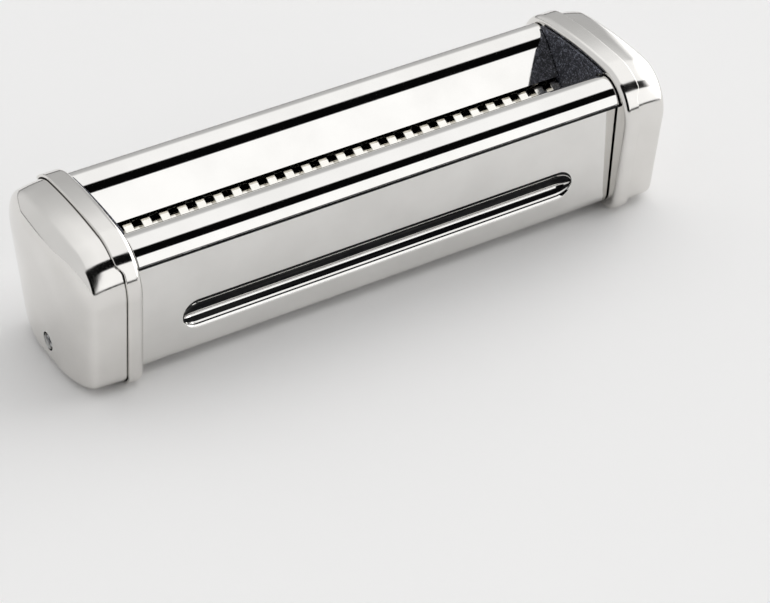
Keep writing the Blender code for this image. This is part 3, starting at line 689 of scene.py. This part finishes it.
def make_end_cap(label, side, look):
    cap = make_object(f"{label}_cap_shell", cap_skin(side))
    middle = (0.0, CAP_SCREW_Z)
    beyond = side * (CAP_START + CAP_DEPTH + 2.0)
    floor = CAP_SCREW_FLOOR
    behind, ahead = 1.5, 1.6    # how far the boss reaches to both sides of the pocket's floor
    boss = prism(circle(CAP_BOSS_RADIUS, 48, middle), side * (floor - behind), side * (floor + ahead))
    carve(cap, [boss], "UNION")
    cutters = [prism(circle(CAP_POCKET_RADIUS, 48, middle), side * floor, beyond)]
    cutters.append(prism(circle(CAP_SCREW_HOLE, 32, middle), side * (floor - 4), beyond))
    if side > 0:
        way = circle(CRANK_WAY_RADIUS, 64, (-ROLLER_AXIS_Y, ROLLER_AXIS_Z))
        cutters.append(prism(way, beyond - 8, beyond))
    carve(cap, cutters)
    finish_piece(cap, look, "satin_chrome", f"{label}_end_cap", sharp=32)


# --- rollers and fastenings ------------------------------------------------------------
def roller_section(first_disc, left_end, right_end):
    """Journal, core with chamfered discs, journal, from left to right."""
    end = WORKING_HALF - (PITCH / 2 - DISC_WIDTH) / 2
    shoulder = DISC_RADIUS - DISC_CHAMFER
    tip = JOURNAL_RADIUS - JOURNAL_CHAMFER
    section = [(left_end, tip), (left_end + JOURNAL_CHAMFER, JOURNAL_RADIUS),
               (-end - 0.1, JOURNAL_RADIUS), (-end - 0.1, CORE_RADIUS)]
    for i in range(DISC_COUNT):
        start = first_disc + i * PITCH - DISC_WIDTH / 2
        stop = start + DISC_WIDTH
        section += [(start, CORE_RADIUS), (start, shoulder), (start + DISC_CHAMFER, DISC_RADIUS),
                    (stop - DISC_CHAMFER, DISC_RADIUS), (stop, shoulder), (stop, CORE_RADIUS)]
    section += [(end + 0.1, CORE_RADIUS), (end + 0.1, JOURNAL_RADIUS),
                (right_end - JOURNAL_CHAMFER, JOURNAL_RADIUS), (right_end, tip)]
    return section


def make_roller(label, face, look):
    low, high = box_mm(f"{label}_cutting_roller")
    skin = turned(roller_section(FIRST_DISC[face], low.x, high.x), 96)
    roller = make_object(f"{label}_roller_cutter", skin, (0.0, face * ROLLER_AXIS_Y, ROLLER_AXIS_Z))
    finish_piece(roller, look, "cutter_steel", f"{label}_cutting_roller", body=f"{label}_roller", sharp=30)


def make_cap_screw(label, side, look):
    """A screw whose domed head has a crossed slot."""
    floor = CAP_SCREW_FLOOR
    shank, flat = 1.2, 0.9      # radii of the shank and of the head's flat top
    rim, dome = 0.9, 0.8        # heights of the head's straight rim and of its dome
    section = [(floor - 7.0, shank), (floor + GAP, shank), (floor + GAP, CAP_SCREW_HEAD)]
    section.append((floor + rim, CAP_SCREW_HEAD))
    for i in range(1, 9):
        turn = math.radians(90 * i / 8)
        radius = CAP_SCREW_HEAD * math.cos(turn) + flat * (1 - math.cos(turn))
        section.append((floor + rim + dome * math.sin(turn), radius))
    screw = make_object(f"{label}_cap_screw_head", turned(section, 40, side), (0.0, 0.0, CAP_SCREW_Z))
    near, far = side * (floor + 0.8), side * (floor + 3)
    reach, narrow = 1.6, 0.3    # half the length and half the width of each slot
    slots = [prism([(-a, -b), (a, -b), (a, b), (-a, b)], near, far)
             for a, b in ((reach, narrow), (narrow, reach))]
    carve(screw, slots)
    finish_piece(screw, look, "zinc_steel", f"{label}_cap_screw", edges=0.05)


def make_drive_socket(look):
    low, high = box_mm("drive_socket")
    radius = (high.z - low.z) / 2
    inner, outer = 0.5, 0.7     # chamfers
    section = [(low.x, radius - inner), (low.x + inner, radius),
               (high.x - outer, radius), (high.x, radius - outer)]
    socket = make_object("crank_socket", turned(section, 64), (0.0, -ROLLER_AXIS_Y, ROLLER_AXIS_Z))
    carve(socket, [prism(circle(JOURNAL_RADIUS + GAP, 48), low.x - 1, SHAFT_END + GAP),
                   prism(circle(HEXAGON_RADIUS, 6), SHAFT_END - 0.4, high.x + 1)])
    finish_piece(socket, look, "zinc_steel", "drive_socket", body="front_roller", edges=0.12)


def paint_cad_nodes(look):
    """The nodes that keep their CAD mesh take the new materials by the name of their old one."""
    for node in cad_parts.values():
        for material_slot in node.material_slots:
            material_slot.material = look[material_slot.material.name.split(".")[0]]


# --- room ------------------------------------------------------------------------------
def make_floor():
    disc = bmesh.new()
    bmesh.ops.create_circle(disc, cap_ends=True, segments=128, radius=FLOOR_RADIUS)
    floor = make_object("floor", disc)
    pale, shade = (0.96, 0.955, 0.95), (0.94, 0.935, 0.93)
    paint = Paint("pale_floor", 0.0, 0.7, pale)
    paint.set("Base Color", paint.blend(paint.noise(6.0), pale, shade))
    paint.relief((paint.noise(400), 0.02))
    floor.data.materials.append(paint.material)


class RoomLight:
    """The world's nodes: a studio whose lights are long strips parallel to X."""

    def __init__(self):
        world = bpy.data.worlds.new("studio")
        world.use_nodes = True
        bpy.context.scene.world = world
        self.tree = world.node_tree
        self.background = self.tree.nodes["Background"]

    def maths(self, operation, *values):
        node = self.tree.nodes.new("ShaderNodeMath")
        node.operation = operation
        for socket, value in zip(node.inputs, values):
            if isinstance(value, bpy.types.NodeSocket):
                self.tree.links.new(value, socket)
            else:
                socket.default_value = value
        return node.outputs["Value"]

    def strips(self, height):
        """The brightness at a height angle, radians, from the ROOM table."""
        ramp = self.tree.nodes.new("ShaderNodeValToRGB")
        ramp.color_ramp.interpolation = "LINEAR"
        elements = ramp.color_ramp.elements
        elements.remove(elements[1])
        for index, (degrees, brightness) in enumerate(ROOM):
            element = elements[0] if index == 0 else elements.new(degrees / 180)
            element.position = degrees / 180
            element.color = (brightness, brightness, brightness, 1.0)
        self.tree.links.new(self.maths("DIVIDE", height, math.pi), ramp.inputs["Fac"])
        return ramp.outputs["Color"]

    def step(self, value, edge, soft):
        """0 below an edge and 1 above it, with a soft turn."""
        node = self.tree.nodes.new("ShaderNodeMapRange")
        node.inputs["From Min"].default_value = edge - soft
        node.inputs["From Max"].default_value = edge + soft
        self.tree.links.new(value, node.inputs["Value"])
        return node.outputs["Result"]

    def choose(self, factor, first, second):
        """first where factor is 0 and second where it is 1."""
        return self.maths("ADD", self.maths("MULTIPLY", first, self.maths("SUBTRACT", 1.0, factor)),
                          self.maths("MULTIPLY", second, factor))

    def build(self):
        direction = self.tree.nodes.new("ShaderNodeTexCoord").outputs["Generated"]
        split = self.tree.nodes.new("ShaderNodeSeparateXYZ")
        self.tree.links.new(direction, split.inputs["Vector"])
        across, depth, up = (split.outputs[axis] for axis in "XYZ")
        height = self.maths("ARCTAN2", up, self.maths("MULTIPLY", depth, -1.0))
        overhead = self.step(height, math.radians(CEILING_START), 0.01)
        panel = self.step(across, PANEL_END, 0.008)
        light = self.choose(self.maths("MAXIMUM", overhead, panel), DARKNESS, self.strips(height))
        strips = self.choose(
            overhead, self.step(across, SCREEN_END, 0.02), self.step(across, SCREEN_FADE, 0.2)
        )
        light = self.choose(strips, SCREEN, light)
        light = self.choose(self.step(across, SIDE_LIGHT_END, 0.03), light, SIDE_LIGHT)
        self.tree.links.new(light, self.background.inputs["Strength"])
        self.background.inputs["Color"].default_value = (1.0, 1.0, 1.0, 1.0)
        self.show_pale_to_camera()

    def show_pale_to_camera(self):
        pale = self.tree.nodes.new("ShaderNodeBackground")
        pale.inputs["Color"].default_value = (0.82, 0.82, 0.82, 1.0)
        chooser = self.tree.nodes.new("ShaderNodeMixShader")
        seen = self.tree.nodes.new("ShaderNodeLightPath").outputs["Is Camera Ray"]
        self.tree.links.new(seen, chooser.inputs["Fac"])
        self.tree.links.new(self.background.outputs["Background"], chooser.inputs[1])
        self.tree.links.new(pale.outputs["Background"], chooser.inputs[2])
        output = self.tree.nodes["World Output"]
        self.tree.links.new(chooser.outputs["Shader"], output.inputs["Surface"])


def make_camera():
    data = bpy.data.cameras.new("camera")
    data.lens = LENS
    data.sensor_width = 36.0
    data.clip_start = 0.01
    camera = bpy.data.objects.new("camera", data)
    bpy.context.scene.collection.objects.link(camera)
    turn = (
        Matrix.Rotation(VIEW_AZIMUTH, 4, "Z")
        @ Matrix.Rotation(math.pi / 2 - VIEW_ELEVATION, 4, "X")
        @ Matrix.Rotation(VIEW_ROLL, 4, "Z")
    )
    back = turn.to_3x3() @ Vector((0.0, 0.0, 1.0))
    camera.matrix_world = Matrix.Translation(VIEW_AIM + back * VIEW_DISTANCE) @ turn
    bpy.context.scene.camera = camera


def build():
    look = make_materials()
    paint_cad_nodes(look)
    for label, face in FACES:
        make_cover(label, face, look)
        make_roller(label, face, look)
    for label, side in SIDES:
        make_side_plate(label, side, look)
        make_cheek(label, side, look)
        make_end_cap(label, side, look)
        make_cap_screw(label, side, look)
    make_drive_socket(look)
    make_floor()
    RoomLight().build()
    make_camera()
    bpy.context.scene.view_settings.view_transform = "Standard"


build()
